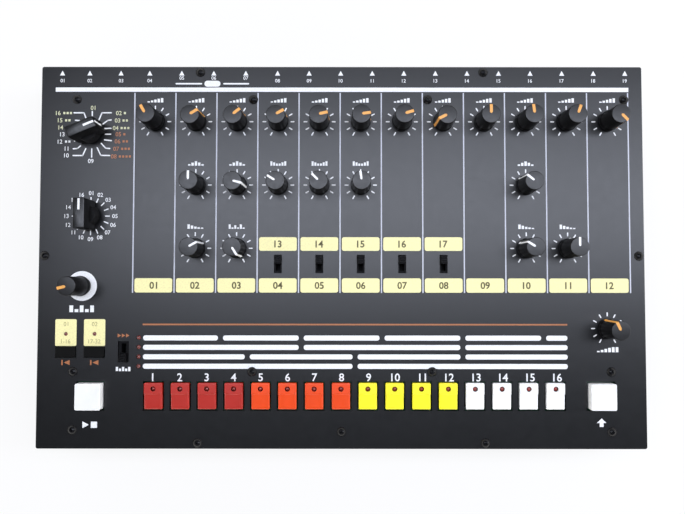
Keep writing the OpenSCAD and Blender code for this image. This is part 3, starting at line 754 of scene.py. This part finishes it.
class DrumKnobs(bpy.types.PropertyGroup):
    """Sizes of the knobs and selectors, in millimetres."""
    height: size("Height", 22.0, 8, 30, "Height of a knob")
    tempo_height: size("Tempo height", 25.0, 8, 30, "Height of the tempo knob")
    top_d: size("Top", 13.0, 8, 20, "Diameter of a knob's top")
    foot_d: size("Foot", 14.6, 8, 24, "Diameter of a knob's foot")
    pointer_w: size("Pointer", 1.5, 0.5, 3, "Width of a white pointer line")
    bright_w: size("Orange pointer", 2.0, 0.5, 3, "Width of an orange pointer line")
    bar_w: size("Bar width", 7.8, 4, 12, "Width of a selector's bar")
    bar_l: size("Bar length", 21.0, 10, 30, "Length of a selector's bar")


class DrumKeys(bpy.types.PropertyGroup):
    """Sizes of the key caps, in millimetres."""
    corner: size("Corner", 0.5, 0.2, 3, "Corner radius of a cap")
    edge: size("Edge", 0.3, 0.1, 1, "Rounding of a cap's upper edge")
    wall: size("Wall", 1.2, 0.6, 2, "Wall of a cap")
    bevel: size("Bevel", 1.2, 0.5, 3, "Width of the bevel round a step key's front part")
    facets: IntProperty(name="Facets", description="Points round a cap", default=88, min=32, max=200)


class DrumStage(bpy.types.PropertyGroup):
    """Light and camera."""
    softbox: size("Softbox", 29.5, 0, 200, "Power of the overhead softbox", "POWER")
    fill: size("Fill", 0.03, 0, 2, "Strength of the light from the room's ceiling")
    horizon: size("Horizon", 2.9, 0, 5, "Strength of the light from the room's walls")
    lens: size("Lens", 35.62, 10, 200, "Focal length for a 36 mm frame", "CAMERA")


# ---------- operators ----------

class MakeCase(bpy.types.Operator):
    """Finish the panel, the tray, the boards, the sockets, the fasteners and the feet"""
    bl_idname = "drum.make_case"
    bl_label = "Case"

    def execute(self, context):
        for node, name in (("front_panel", "panel_paint"), ("case_tray", "tray_paint"),
                           ("circuit_boards", "circuit_board"), ("control_bodies", "control_housing"),
                           ("rear_sockets", "socket_black"), ("fasteners", "screw_black"),
                           ("rubber_feet", "foot_rubber"), ("lamps", "lamp_red")):
            repaint(node, name)
        return {"FINISHED"}


class MakeLegends(bpy.types.Operator):
    """Print the lines, plates, marks and plain figures on the panel"""
    bl_idname = "drum.make_legends"
    bl_label = "Legends"

    def execute(self, context):
        white = Sheet("legend_white", "ink_white")
        yellow = Sheet("legend_plates", "ink_yellow")
        dark = Sheet("legend_dark", "ink_dark", PRINT_T)
        olive = Sheet("legend_olive", "ink_olive", PRINT_T)
        orange = Sheet("legend_orange", "ink_orange")
        pale = Sheet("legend_pale", "ink_pale")
        lines = Sheet("legend_lines", "ink_line")
        self.strips(white, lines, yellow, dark)
        self.rear_edge(white)
        self.dials(white)
        self.selectors(white, pale, orange)
        self.step_rows(white, orange)
        self.left_keys(white, yellow, olive, orange)
        for sheet in (white, lines, yellow, dark, olive, orange, pale):
            sheet.print()
        return {"FINISHED"}

    def strips(self, white, lines, yellow, dark):
        white.outline(bar_mark(-207.0, 118.8, 207.4, 121.9))
        for i in range(STRIPS + 1):
            x = STRIP_LEFT + i * STRIP_PITCH
            lines.outline(bar_mark(x - 0.42, -26.5, x + 0.42, 118.0))
        plates = [(c, -21.2, 10.2) for c in range(STRIPS)] + [(c, 8.5, 9.8) for c in range(3, 8)]
        for number, (c, y, depth) in enumerate(plates, 1):
            yellow.outline(plate_mark(strip_x(c), y, 27.0, depth, 1.5))
            dark.figures(two_digits(number), 4.8, strip_x(c), y, 0.03)

    def rear_edge(self, white):
        sockets = sorted(m["pos_m"][0] / MM for m in frame["record"]["mounts"] if m["kind"] == "bore")
        for number, x in enumerate(sockets, 1):
            white.outline([[x - 1.85, 130.7], [x + 1.85, 130.7], [x, 134.2]])
            white.figures(two_digits(number), 2.5, x, 128.9 if number in (5, 6, 7) else 126.9, 0.012)
        for x0, x1 in ((-119.8, -101.6), (-85.3, -67.6)):
            white.line((x0, 124.7), (x1, 124.7), width=1.1)
        white.outline(plate_mark(-93.6, 124.7, 11.6, 4.4, 2.1))

    def dials(self, white):
        knobs = [node for node in JOINTS if "_knob" in node]
        for node in knobs:
            if node != "tempo_knob":
                ray_marks(white, *joint_place(node), DIAL_ANGLES, 9.15, 11.2, 0.9)
        signs = {"level": LEVEL_SIGN, "middle": TONE_SIGN, "lower": DECAY_SIGN}
        own_signs = {"lower_knob_3": SNAP_SIGN}
        own_signs.update({"middle_knob_" + str(i): TUNE_SIGN for i in (4, 5, 6)})
        for node in knobs:
            kind = node.split("_")[0]
            if kind in signs:
                x, y = joint_place(node)
                rising_bars(white, x, y + 15.6, 12.0, 3.2, own_signs.get(node, signs[kind]))
        x, y = joint_place("master_knob")
        rising_bars(white, x, y - 15.0, 16.0, 3.6, LEVEL_SIGN + (1.0,))
        x, y = joint_place("tempo_knob")
        white.shapes.append(ring_mark(x, y, 6.4, 10.65))
        rising_bars(white, x, y - 16.3, 18.5, 4.8, BEAT_SIGN)

    def selectors(self, white, pale, orange):
        x, y = joint_place("voice_selector")
        ray_marks(white, x, y, VOICE_ANGLES, 10.6, 13.4, 0.8)
        for k, a in enumerate(np.radians(VOICE_ANGLES), 1):
            white.figures(two_digits(k), 2.9, x + 17.4 * math.sin(a), y + 16.6 * math.cos(a), 0.012)
        x, y = joint_place("mode_selector")
        inks = {"white": white, "pale": pale, "orange": orange}
        for k, (ink_name, spot, *leader) in enumerate(MODE_LEGENDS):
            if leader:
                white.line(*[(x + px, y + py) for px, py in leader], width=0.9)
            self.numbered(inks[ink_name], k, MODE_GROUPS[k], x + spot[0], y + spot[1])

    def numbered(self, sheet, k, squares, x, y):
        """A position's number with as many small squares after it as its place in its group."""
        sheet.figures(two_digits(k + 1), 3.0, x - squares * 1.2, y, 0.012)
        for i in range(squares):
            left = x - squares * 1.2 + 3.6 + i * 2.4
            sheet.outline(bar_mark(left, y - 0.8, left + 1.5, y + 0.8))

    def step_rows(self, white, orange):
        left, right = -142.0, 161.2
        orange.outline(bar_mark(left, -49.65, right, -48.55))
        for row, group in enumerate(GROUPS_OF_STEPS):
            at = 0
            for n in group:
                x0 = figure_x(at) - FIGURE_PITCH / 2 + 1.8 if at else left + 0.4
                at += n
                x1 = figure_x(at - 1) + FIGURE_PITCH / 2 - 1.8 if at < 16 else right
                white.outline(plate_mark((x0 + x1) / 2, -58.7 - 6.7 * row, x1 - x0, 3.6, 1.6))
        for i in range(16):
            white.figures(str(i + 1), 5.5, figure_x(i), -86.6, 0.02)
        x = node_box("start_key")[2][0]
        white.outline([[x - 5.2, -122.6], [x - 0.6, -120.2], [x - 5.2, -117.8]])
        white.outline(bar_mark(x + 0.8, -122.4, x + 5.2, -118.0))
        x = node_box("shift_key")[2][0]
        white.outline([[x - 3.4, -118.6], [x + 3.4, -118.6], [x, -115.4]])
        white.outline(bar_mark(x - 1.4, -121.4, x + 1.4, -118.6))

    def left_keys(self, white, yellow, olive, orange):
        for number, span in enumerate(("1-16", "17-32"), 1):
            x = node_box("black_key_" + str(number))[2][0]
            yellow.outline(plate_mark(x, -54.95, 15.2, 19.1, 1.0))
            olive.figures(span, 2.9, x, -61.2)
            olive.figures(two_digits(number), 3.0, x, -48.9)
            orange.outline([[x + 3.0, -78.0], [x + 3.0, -74.4], [x - 1.2, -76.2]])
            orange.outline(bar_mark(x - 2.9, -78.0, x - 1.9, -74.4))
        x = node_box("bank_switch")[2][0]
        for left in (x - 4.2, x - 1.2, x + 1.8):
            orange.outline([[left, -58.4], [left + 2.4, -57.0], [left, -55.6]])
        rising_bars(white, x, -80.8, 11.0, 3.0, BANK_SIGN)


class MakeKnobs(bpy.types.Operator):
    """Turn the knobs, with their pointers and shafts"""
    bl_idname = "drum.make_knobs"
    bl_label = "Knobs"

    def execute(self, context):
        for node, joint in JOINTS.items():
            if "_knob" in node:
                self.knob(context.scene.drum_knobs, node, sum(joint["range_deg"]) / 2)
        return {"FINISHED"}

    def knob(self, s, node, turn):
        x, y = joint_place(node)
        low, high, *_ = node_box(node)
        top = high[2] - LINE_LIFT
        foot = top - (s.tempo_height if node == "tempo_knob" else s.height)
        rt, rf = s.top_d / 2, s.foot_d / 2
        # Radii of the boss and of the room for the nut, and how thick the top is.
        boss, nut, roof = 4.3, 5.95, 2.0
        profile = eased([(0, foot + 3.6), (boss, foot + 3.6), (boss, top - roof), (rt - 1.3, top - roof),
                         (rt - 1.2, foot + 4.6), (nut, foot + 3.2), (nut, foot), (rf, foot),
                         (rf - 0.05, foot + 1.5), (rt + 0.3, foot + 3.2), (rt, top), (0, top)],
                        [0, 0, 0, 0, 0, 0, 0.3, 0.5, 1.0, 0.5], 6)
        rib = prism(bar_mark(4, -0.5, rt - 0.8, 0.5), foot + 6, top - 1)
        shapes = [(placed(lathe(profile, 72), x, y), 0), (placed(shaft(low[2], top - 4), x, y), 1)]
        shapes += [(placed(rib, x, y, 0, 45 + 90 * k), 0) for k in range(4)]
        piece(node + "_body", shapes, ["knob_black", "shaft_metal"], node, (node,), 30)
        outer = profile[np.argmax(profile[:, 0]):]
        orange = node.split("_")[0] in ("level", "tempo", "master")
        mark = self.pointer((s.bright_w if orange else s.pointer_w) / 2, outer, top)
        stuff = "pointer_orange" if orange else "ink_white"
        piece(node + "_pointer", [(placed(mark, x, y, 0, turn), 0)], [stuff], node)

    def pointer(self, half, outer, top):
        """A band from near the middle of the top to the edge and down the side: at each step of the
        knob's own outline, y = sqrt(r^2 - s^2) keeps the band on the round surface. Its inner end is
        a half circle."""
        side = outer[outer[:, 1] > outer[0, 1] + 0.6][::-1]
        r, z = side[side[:, 0] > 2.0].T
        across = np.linspace(-1, 1, 5) * half
        y = np.sqrt(r[:, None] ** 2 - across ** 2)
        start = 0.35 + half - np.sqrt(np.maximum(half ** 2 - across ** 2, 0))
        lead = start + (y[:1] - start) * np.linspace(0, 1, 5)[:-1, None]
        y = np.vstack([lead, y])
        z = np.concatenate([np.full(len(lead), top), z])
        return ribbon(np.stack(np.broadcast_arrays(across, y, z[:, None]), -1))


class MakeSelectors(bpy.types.Operator):
    """Make the two bar-shaped selector knobs"""
    bl_idname = "drum.make_selectors"
    bl_label = "Selectors"

    def execute(self, context):
        s = context.scene.drum_knobs
        foot = PANEL_FACE + 3.5
        for node, turn in SELECTOR_TURNS:
            low, high, *_ = node_box(node)
            top = high[2] - LINE_LIFT
            hub = lathe(eased([(0, foot), (7.75, foot), (7.3, foot + 8), (0, foot + 8)], [0.4, 0.7]), 72)
            place = (*joint_place(node), 0, turn)
            shapes = [(placed(shape, *place), i) for i, shape in
                      enumerate((self.bar(s, foot, top), shaft(low[2], foot + 1), hub))]
            piece(node + "_body", shapes, ["knob_black", "shaft_metal", "hub_black"], node, (node,),
                  40)
            line = placed(self.line(s.bar_l / 2, foot, top), *place)
            piece(node + "_pointer", [(line, 0)], ["ink_white"], node)
        return {"FINISHED"}

    def bar(self, s, foot, top):
        """Rounded rectangles stacked from foot to top, drawn in at the bevelled upper edge."""
        half_w, half_l = s.bar_w / 2, s.bar_l / 2
        levels = [(0.4, 0.0, foot), (0.0, 0.0, top - 0.6), (-0.15, -0.15, top - 0.15), (-0.5, -0.5, top)]
        return loft([level(plate_mark(0, 0, 2 * (half_w + dw), 2 * (half_l + dl), 0.7), z)
                     for dw, dl, z in levels])

    def line(self, half, foot, top):
        """A band along the bar's top that runs over its end and down to the hub."""
        y, z = eased([(half - 8.2, top), (half - 0.5, top), (half, top - 0.6), (half, foot + 5)],
                     [0.25, 0.3], 4).T
        across = np.linspace(-1, 1, 3) * 0.75
        return ribbon(np.stack(np.broadcast_arrays(across, y[:, None], z[:, None]), -1))


class MakeSwitches(bpy.types.Operator):
    """Make the slide switches' ribbed levers"""
    bl_idname = "drum.make_switches"
    bl_label = "Slide switches"

    def execute(self, context):
        for node in JOINTS:
            if not node.startswith(("sound_switch", "bank_switch")):
                continue
            low, high, middle, half = node_box(node)
            top = high[2]

            def height(x, y):
                """Ridges across the lever: a cosine of y, steepened and cut off above and below."""
                ridge = np.cos(y * TAU / 1.7)
                return top - 0.35 + 0.33 * np.clip(ridge * 1.6, -1, 1)

            head = cap_shell(half, 0.6, 0.3, height, PANEL_FACE - 1.0, 0.9, 72, 16)
            root = prism(plate_mark(0, 0, 2 * half[0] - 2.2, 3.0, 0.2), low[2], top - 2.0)
            piece(node + "_lever", at_middle(middle, head, root), ["lever_black"], node, (node,))
        return {"FINISHED"}


class MakeStepKeys(bpy.types.Operator):
    """Mould the sixteen step keys' caps round their lamps"""
    bl_idname = "drum.make_step_keys"
    bl_label = "Step keys"

    def execute(self, context):
        s = context.scene.drum_keys
        for i in range(16):
            node = "step_key_" + str(i + 1)
            low, high, middle, half = node_box(node)
            up = high[2]
            crease = half[1] - 8.0

            def height(x, y):
                """A flat rear, a smooth step down at the crease, then a slope with bevelled sides."""
                step = np.clip((y - crease) / 0.5, 0, 1)
                rear = step * step * (3 - 2 * step)
                slope = np.clip(crease - y, 0, None) * 0.047
                side = np.minimum(half[0] - np.abs(x), y + half[1])
                fold = 0.6 * np.clip(1 - side / s.bevel, 0, 1)
                return up - (1 - rear) * (0.5 + fold) - slope

            cap = cap_shell(half, s.corner, s.edge, height, PANEL_FACE - 3.0, s.wall, s.facets, 22,
                            (0, 5.2), 1.85, s.bevel)
            post = stem(low[2], up - 1.5, -3)
            stuff = ("key_red", "key_orange", "key_yellow", "key_white")[i // 4]
            piece(node + "_cap", at_middle(middle, cap, post), [stuff], node, (node,))
        return {"FINISHED"}


class MakeSquareKeys(bpy.types.Operator):
    """Make the two clear square caps over white blocks, and the two black keys"""
    bl_idname = "drum.make_square_keys"
    bl_label = "Square and black keys"

    def execute(self, context):
        wall = context.scene.drum_keys.wall
        for node in ("start_key", "shift_key"):
            low, high, middle, half = node_box(node)
            top = high[2]
            skirt = PANEL_FACE - 2.6
            cap = flat_cap(half, 1.0, 0.5, top, skirt, wall, 88)
            inner = half - wall - 0.05
            block = flat_cap(inner, 0.6, 0.25, top - wall - 0.05, skirt + 0.2, 2.0, 88)
            piece(node + "_cap", at_middle(middle, cap), ["key_clear"], node, (node,))
            piece(node + "_block", at_middle(middle, block, stem(low[2], top - 3)), ["key_diffuser"],
                  node)
        for node in ("black_key_1", "black_key_2"):
            low, high, middle, half = node_box(node)
            cap = flat_cap(half, 0.8, 0.35, high[2], PANEL_FACE - 2.4, 0.9, 72)
            piece(node + "_cap", at_middle(middle, cap, stem(low[2], high[2] - 1.2)), ["key_black"], node,
                  (node,))
        return {"FINISHED"}


class MakeStage(bpy.types.Operator):
    """Set the pale floor, the softbox, the room's light and the camera"""
    bl_idname = "drum.make_stage"
    bl_label = "Stage"

    def execute(self, context):
        s = context.scene.drum_stage
        self.floor()
        self.world(s)
        self.softbox(s)
        self.camera(context, s)
        context.scene.view_settings.view_transform = "Standard"
        return {"FINISHED"}

    def floor(self):
        """A flat sheet far wider than the view."""
        x, y = np.meshgrid(*[np.linspace(-FLOOR_HALF, FLOOR_HALF, 9)] * 2, indexing="xy")
        points = np.stack([x, y, 0 * x], -1).reshape(-1, 3)
        n = Nodes("floor_paper")
        n.drive(Base_Color=n.ramp(n.noise(3.0), 0.90, 0.94, 0.0, 1.0))
        n.set(Roughness=0.9, Specular_IOR_Level=0.0)
        rays = n.add("ShaderNodeLightPath").outputs
        seen = n.step("ShaderNodeMath", rays["Is Camera Ray"], rays["Is Glossy Ray"], operation="MAXIMUM")
        seen = n.step("ShaderNodeMath", seen, rays["Is Transmission Ray"], operation="MAXIMUM")
        n.show(n.step("ShaderNodeMath", seen, FLOOR_GLOW, operation="MULTIPLY"), n.shader.outputs[0],
               n.step("ShaderNodeEmission", Strength=1.0))
        new_object("floor", points, [f[::-1] for f in grid_faces(9, 9).tolist()], [n.owner])

    def world(self, s):
        """A room that is bright towards its walls and dark overhead, and white where the camera sees it."""
        n = Nodes("room", "worlds")
        room = n.tree.nodes["Background"]
        room.inputs["Color"].default_value = rgba(WALL_TINT)
        height = n.axis(n.places["Generated"], 2)
        n.link(n.span(height, WALL_END, CEILING_START, s.horizon, s.fill), room.inputs["Strength"])
        camera = n.add("ShaderNodeLightPath").outputs["Is Camera Ray"]
        n.show(camera, room.outputs[0], n.step("ShaderNodeBackground", Color=rgba(1.0)))
        bpy.context.scene.world = n.owner

    def softbox(self, s):
        light = bpy.data.lights.new("softbox", "AREA")
        light.shape = "RECTANGLE"
        light.size, light.size_y = SOFTBOX_SIZE
        light.energy = s.softbox
        light.color = SOFTBOX_TINT
        made = bpy.data.objects.new("softbox", light)
        made.location = SOFTBOX_PLACE
        bpy.context.scene.collection.objects.link(made)

    def camera(self, context, s):
        data = bpy.data.cameras.new("camera")
        data.lens = s.lens
        data.sensor_width = 36.0
        data.clip_start = 0.01
        made = bpy.data.objects.new("camera", data)
        made.location = CAMERA_PLACE
        made.rotation_euler = CAMERA_TURN
        context.scene.collection.objects.link(made)
        context.scene.camera = made


class DrumPanel(bpy.types.Panel):
    """Lists the drum machine's operators and settings"""
    bl_idname = "VIEW3D_PT_drum_machine"
    bl_label = "Drum machine"
    bl_space_type = "VIEW_3D"
    bl_region_type = "UI"
    bl_category = "Drum machine"

    def draw(self, context):
        for operator in OPERATORS:
            self.layout.operator(operator.bl_idname)
        for group in (context.scene.drum_finish, context.scene.drum_knobs, context.scene.drum_keys,
                      context.scene.drum_stage):
            box = self.layout.box()
            for name in group.__annotations__:
                box.prop(group, name)


GROUPS = (("drum_finish", DrumFinish), ("drum_knobs", DrumKnobs), ("drum_keys", DrumKeys),
          ("drum_stage", DrumStage))
OPERATORS = (MakeStage, MakeCase, MakeLegends, MakeKnobs, MakeSelectors, MakeSwitches, MakeStepKeys,
             MakeSquareKeys)


def register():
    for name, group in GROUPS:
        bpy.utils.register_class(group)
        setattr(bpy.types.Scene, name, PointerProperty(type=group))
    for operator in OPERATORS:
        bpy.utils.register_class(operator)
    bpy.utils.register_class(DrumPanel)


def unregister():
    bpy.utils.unregister_class(DrumPanel)
    for operator in reversed(OPERATORS):
        bpy.utils.unregister_class(operator)
    for name, group in reversed(GROUPS):
        delattr(bpy.types.Scene, name)
        bpy.utils.unregister_class(group)


def corners(box):
    return [[float(c) for c in corner] for corner in box]


def main():
    register()
    for operator in OPERATORS:
        area, name = operator.bl_idname.split(".")
        getattr(getattr(bpy.ops, area), name)()


if __name__ == "__main__":
    main()
